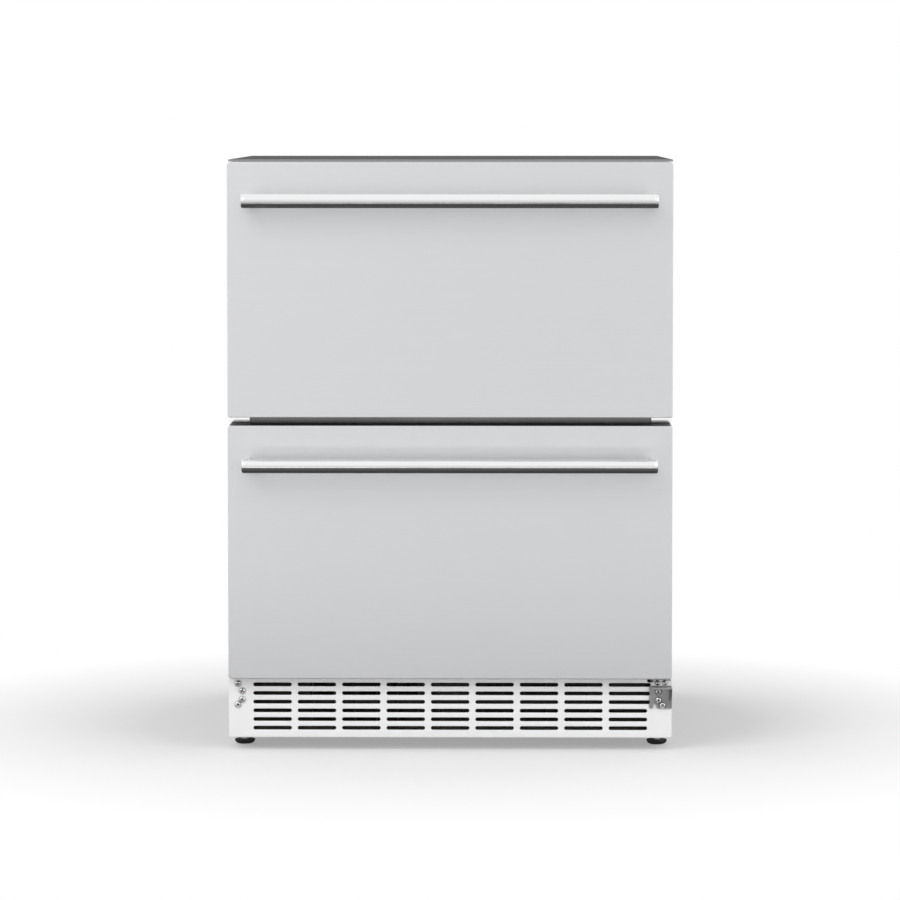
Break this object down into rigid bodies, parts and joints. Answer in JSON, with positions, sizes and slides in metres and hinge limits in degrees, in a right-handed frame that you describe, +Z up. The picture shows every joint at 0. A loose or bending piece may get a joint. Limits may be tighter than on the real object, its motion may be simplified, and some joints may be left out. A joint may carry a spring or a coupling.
{
  "type": "undercounter drawer refrigerator",
  "caption": "Undercounter refrigerator with two stainless pull-out drawers, round bar handles, a slotted toe grille and levelling feet.",
  "frame": {"origin": "on the floor under the centre of the bounding box, handles included", "axes": "+X to the right as seen from the front, +Y to the back, +Z up; the drawers open along -Y"},
  "size_m": [0.6, 0.65, 0.799],
  "materials": {
    "stainless": "satin",
    "handle_steel": "satin",
    "galvanised": "satin",
    "bracket_steel": "satin",
    "screw_steel": "satin",
    "foam": "matte",
    "liner_plastic": "satin",
    "gloss_black": "gloss",
    "black_plastic": "satin",
    "grey_plastic": "satin",
    "button_plastic": "satin",
    "bin_plastic": "satin",
    "gasket_rubber": "matte",
    "foot_rubber": "satin",
    "black_paint": "satin",
    "coil_metal": "satin",
    "lamp_lens": "satin"
  },
  "bodies": {
    "cabinet": {"cabinet_wrapper": "stainless", "rear_panel": "galvanised", "rear_machine_cover": "galvanised", "base_pan": "galvanised", "insulation_foam": "foam", "inner_liner": "liner_plastic", "mullion_rail": "gloss_black", "toe_grille": "stainless", "hinge_bracket": "bracket_steel", "compressor": "black_paint", "drain_pan": "black_plastic", "condenser": "black_paint", "condenser_fan_shroud": "black_plastic", "evaporator": "coil_metal", "evaporator_cover": "liner_plastic", "control_housing": "gloss_black", "led_lamp": "lamp_lens", "power_inlet": "black_plastic", "hinge_hole_screw_1": "screw_steel", "hinge_hole_screw_2": "screw_steel", "hinge_hole_screw_3": "screw_steel", "hinge_hole_screw_4": "screw_steel", "bracket_screw_1": "screw_steel", "bracket_screw_2": "screw_steel", "bracket_screw_3": "screw_steel", "upper_slide_outer_left": "galvanised", "upper_slide_outer_right": "galvanised", "lower_slide_outer_left": "galvanised", "lower_slide_outer_right": "galvanised"},
    "upper_drawer": {"upper_front_skin": "stainless", "upper_front_body": "black_plastic", "upper_gasket": "gasket_rubber", "upper_bin": "bin_plastic", "upper_handle_bar": "handle_steel", "upper_handle_post_left": "handle_steel", "upper_slide_inner_left": "galvanised", "upper_handle_post_right": "handle_steel", "upper_slide_inner_right": "galvanised"},
    "upper_slide_mids": {"upper_slide_mid_left": "galvanised", "upper_slide_mid_right": "galvanised"},
    "lower_drawer": {"lower_front_skin": "stainless", "lower_front_body": "black_plastic", "lower_gasket": "gasket_rubber", "lower_bin": "bin_plastic", "lower_handle_bar": "handle_steel", "lower_handle_post_left": "handle_steel", "lower_slide_inner_left": "galvanised", "lower_handle_post_right": "handle_steel", "lower_slide_inner_right": "galvanised"},
    "lower_slide_mids": {"lower_slide_mid_left": "galvanised", "lower_slide_mid_right": "galvanised"},
    "condenser_fan": {"condenser_fan_blades": "grey_plastic"},
    "evaporator_fan": {"evaporator_fan_blades": "black_plastic"},
    "power_button": {"button_power": "button_plastic"},
    "colder_button": {"button_colder": "button_plastic"},
    "warmer_button": {"button_warmer": "button_plastic"},
    "front_left_foot": {"foot_front_left": "foot_rubber"},
    "front_right_foot": {"foot_front_right": "foot_rubber"},
    "rear_left_foot": {"foot_rear_left": "foot_rubber"},
    "rear_right_foot": {"foot_rear_right": "foot_rubber"}
  },
  "joints": [
    {"name": "upper_drawer_slide", "type": "slide", "parent": "cabinet", "child": "upper_drawer", "axis": [0, -1, 0], "range_m": [0, 0.4]},
    {"name": "upper_slide_mids_follow", "type": "slide", "parent": "cabinet", "child": "upper_slide_mids", "axis": [0, -1, 0], "range_m": [0, 0.2]},
    {"name": "lower_drawer_slide", "type": "slide", "parent": "cabinet", "child": "lower_drawer", "axis": [0, -1, 0], "range_m": [0, 0.4]},
    {"name": "lower_slide_mids_follow", "type": "slide", "parent": "cabinet", "child": "lower_slide_mids", "axis": [0, -1, 0], "range_m": [0, 0.2]},
    {"name": "condenser_fan_spin", "type": "hinge", "parent": "cabinet", "child": "condenser_fan", "pos_m": [0.11, 0.16035, 0.1183], "axis": [0, 1, 0], "continuous": true},
    {"name": "evaporator_fan_spin", "type": "hinge", "parent": "cabinet", "child": "evaporator_fan", "pos_m": [0, 0.2405, 0.654], "axis": [0, 1, 0], "continuous": true},
    {"name": "power_button_press", "type": "slide", "parent": "cabinet", "child": "power_button", "axis": [0, 1, 0], "range_m": [0, 0.0012], "stiffness_N_per_m": 1000, "springref_m": -0.0008},
    {"name": "colder_button_press", "type": "slide", "parent": "cabinet", "child": "colder_button", "axis": [0, 1, 0], "range_m": [0, 0.0012], "stiffness_N_per_m": 1000, "springref_m": -0.0008},
    {"name": "warmer_button_press", "type": "slide", "parent": "cabinet", "child": "warmer_button", "axis": [0, 1, 0], "range_m": [0, 0.0012], "stiffness_N_per_m": 1000, "springref_m": -0.0008},
    {"name": "front_left_foot_level", "type": "slide", "parent": "cabinet", "child": "front_left_foot", "axis": [0, 0, -1], "range_m": [0, 0.02]},
    {"name": "front_right_foot_level", "type": "slide", "parent": "cabinet", "child": "front_right_foot", "axis": [0, 0, -1], "range_m": [0, 0.02]},
    {"name": "rear_left_foot_level", "type": "slide", "parent": "cabinet", "child": "rear_left_foot", "axis": [0, 0, -1], "range_m": [0, 0.02]},
    {"name": "rear_right_foot_level", "type": "slide", "parent": "cabinet", "child": "rear_right_foot", "axis": [0, 0, -1], "range_m": [0, 0.02]}
  ],
  "couplings": [
    {"joint": "upper_slide_mids_follow", "follows": "upper_drawer_slide", "ratio": 0.5},
    {"joint": "lower_slide_mids_follow", "follows": "lower_drawer_slide", "ratio": 0.5}
  ]
}
